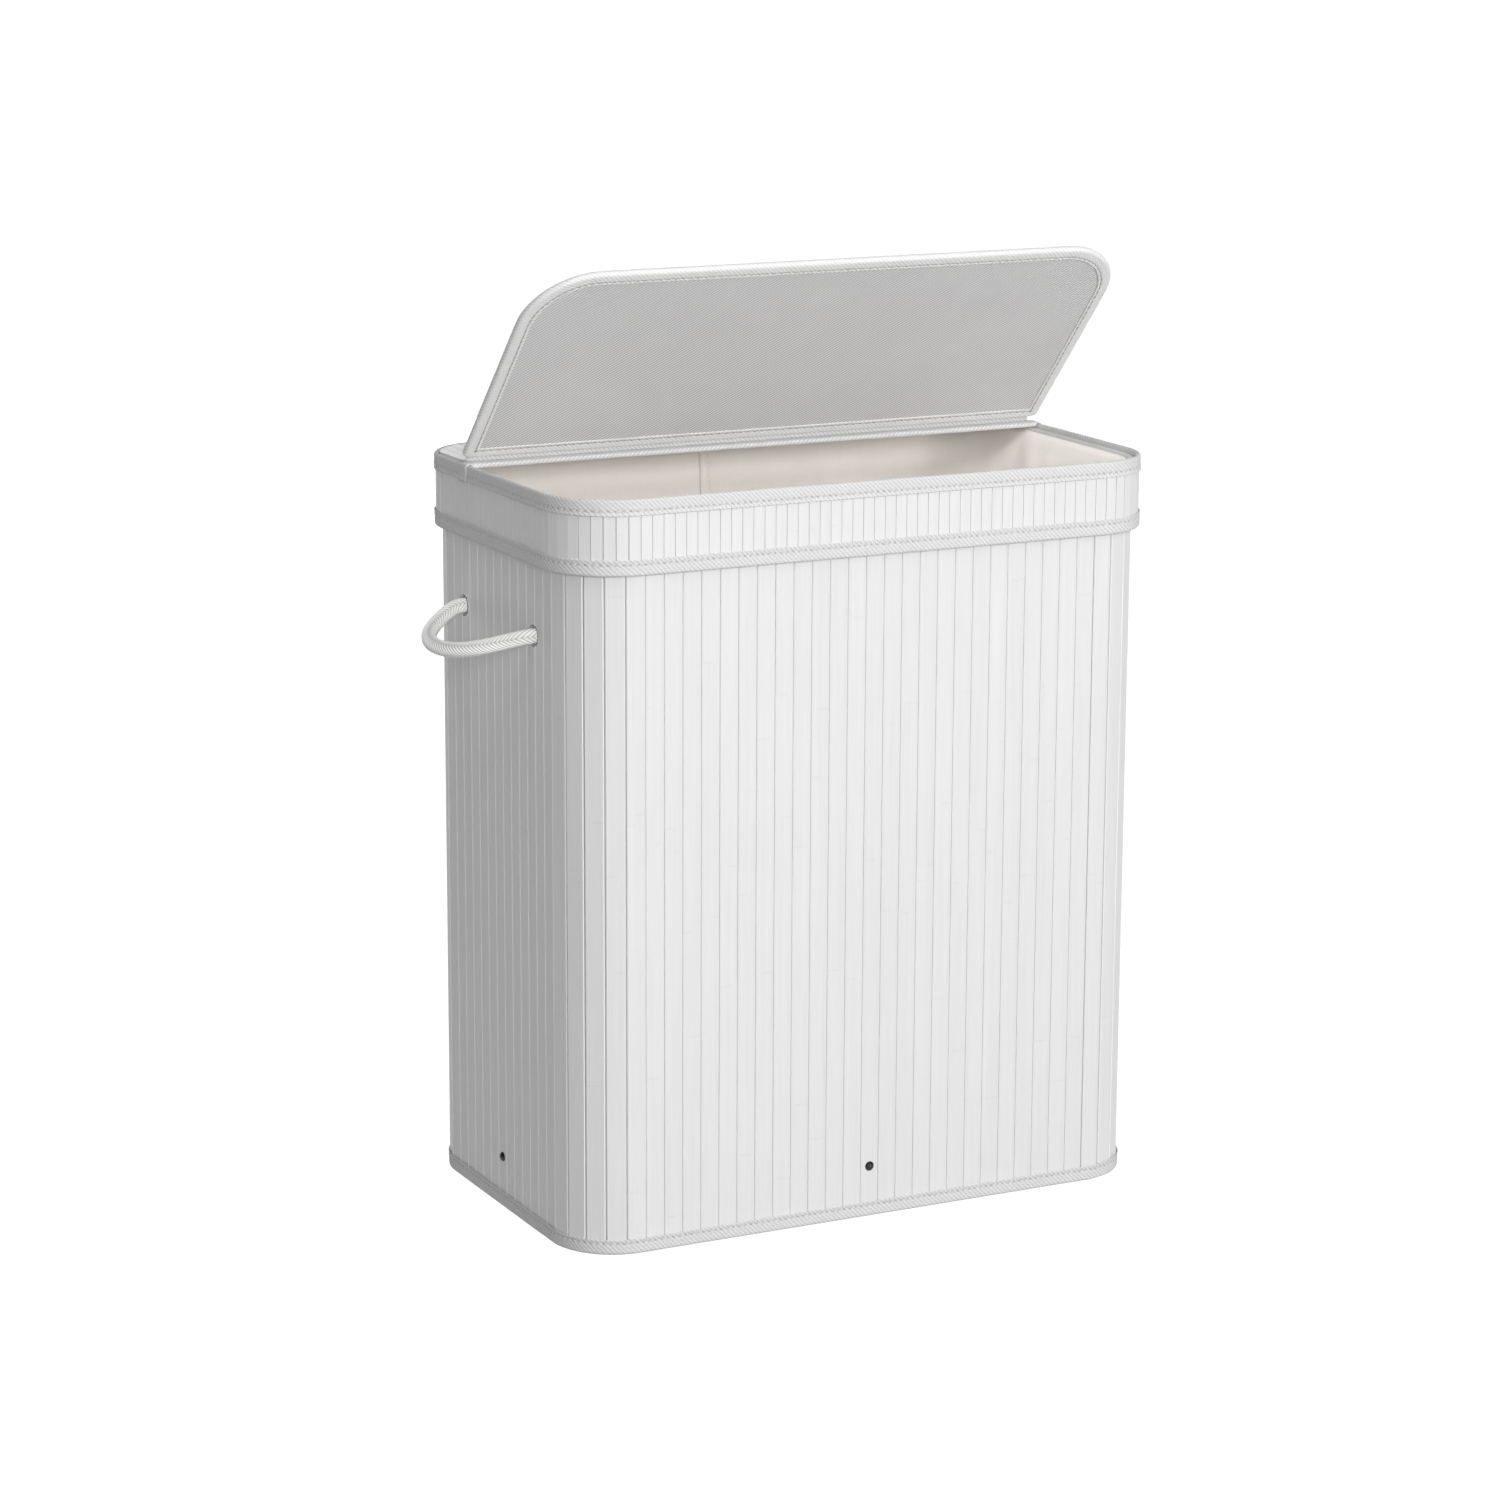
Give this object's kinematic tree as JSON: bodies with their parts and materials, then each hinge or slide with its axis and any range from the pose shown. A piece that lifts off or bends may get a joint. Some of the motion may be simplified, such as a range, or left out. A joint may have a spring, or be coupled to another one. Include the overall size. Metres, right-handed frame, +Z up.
{
  "type": "laundry hamper",
  "caption": "Slatted bamboo laundry hamper with a cloth liner, rope handles, a lift-off slatted collar and a hinged lid.",
  "frame": {"origin": "middle of the footprint, on the floor", "axes": "+Z up, +X to the right seen from the front, front faces -Y; the lid is open at rest"},
  "size_m": [0.6476, 0.3314, 0.8041],
  "materials": {
    "basket_slats": "white painted bamboo, satin",
    "collar_slats": "white painted bamboo, satin",
    "wall_backing": "plain cloth",
    "binding_tape": "white twill tape",
    "base_board": "raw hardboard",
    "base_cleats": "raw softwood",
    "screw_heads": "dark bronze, glossy",
    "liner_cloth": "cream cotton",
    "rope": "white braided cotton",
    "lid_board": "raw hardboard",
    "lid_slats": "white painted bamboo, satin",
    "lid_lining": "grey white twill",
    "hinge_cloth": "white cloth strip"
  },
  "bodies": {
    "basket": {"front_slats": "basket_slats", "right_slats": "basket_slats", "rear_slats": "basket_slats", "left_slats": "basket_slats", "front_right_corner_slats": "basket_slats", "rear_right_corner_slats": "basket_slats", "rear_left_corner_slats": "basket_slats", "front_left_corner_slats": "basket_slats", "wall_backing": "wall_backing", "bottom_binding": "binding_tape", "top_binding": "binding_tape", "base_board": "base_board", "base_cleats": "base_cleats", "base_screws": "screw_heads", "liner_bag": "liner_cloth", "left_rope_ends": "rope", "right_rope_ends": "rope"},
    "collar": {"collar_front_slats": "collar_slats", "collar_right_slats": "collar_slats", "collar_rear_slats": "collar_slats", "collar_left_slats": "collar_slats", "collar_front_right_corner_slats": "collar_slats", "collar_rear_right_corner_slats": "collar_slats", "collar_rear_left_corner_slats": "collar_slats", "collar_front_left_corner_slats": "collar_slats", "collar_backing": "wall_backing", "collar_top_binding": "binding_tape", "collar_bottom_binding": "binding_tape", "rear_panel_backing": "wall_backing", "rear_panel_slats": "collar_slats", "rear_panel_edge_tape": "binding_tape", "hinge_strip_rear": "hinge_cloth"},
    "lid": {"lid_lining": "lid_lining", "lid_board": "lid_board", "lid_slats": "lid_slats", "lid_binding": "binding_tape", "hinge_strip_lid": "hinge_cloth"},
    "left_handle": {"left_rope_loop": "rope"},
    "right_handle": {"right_rope_loop": "rope"}
  },
  "joints": [
    {"name": "collar_lift", "type": "slide", "parent": "basket", "child": "collar", "axis": [0, 0, 1], "range_m": [0, 0.12]},
    {"name": "lid_hinge", "type": "hinge", "parent": "collar", "child": "lid", "pos_m": [0, 0.0585, 0.6346], "axis": [-1, 0, 0], "range_deg": [-47, 133]},
    {"name": "left_handle_swing", "type": "hinge", "parent": "basket", "child": "left_handle", "pos_m": [-0.2745, 0, 0.5075], "axis": [0, 1, 0], "range_deg": [-50, 100]},
    {"name": "right_handle_swing", "type": "hinge", "parent": "basket", "child": "right_handle", "pos_m": [0.2745, 0, 0.5075], "axis": [0, -1, 0], "range_deg": [-50, 100]}
  ]
}
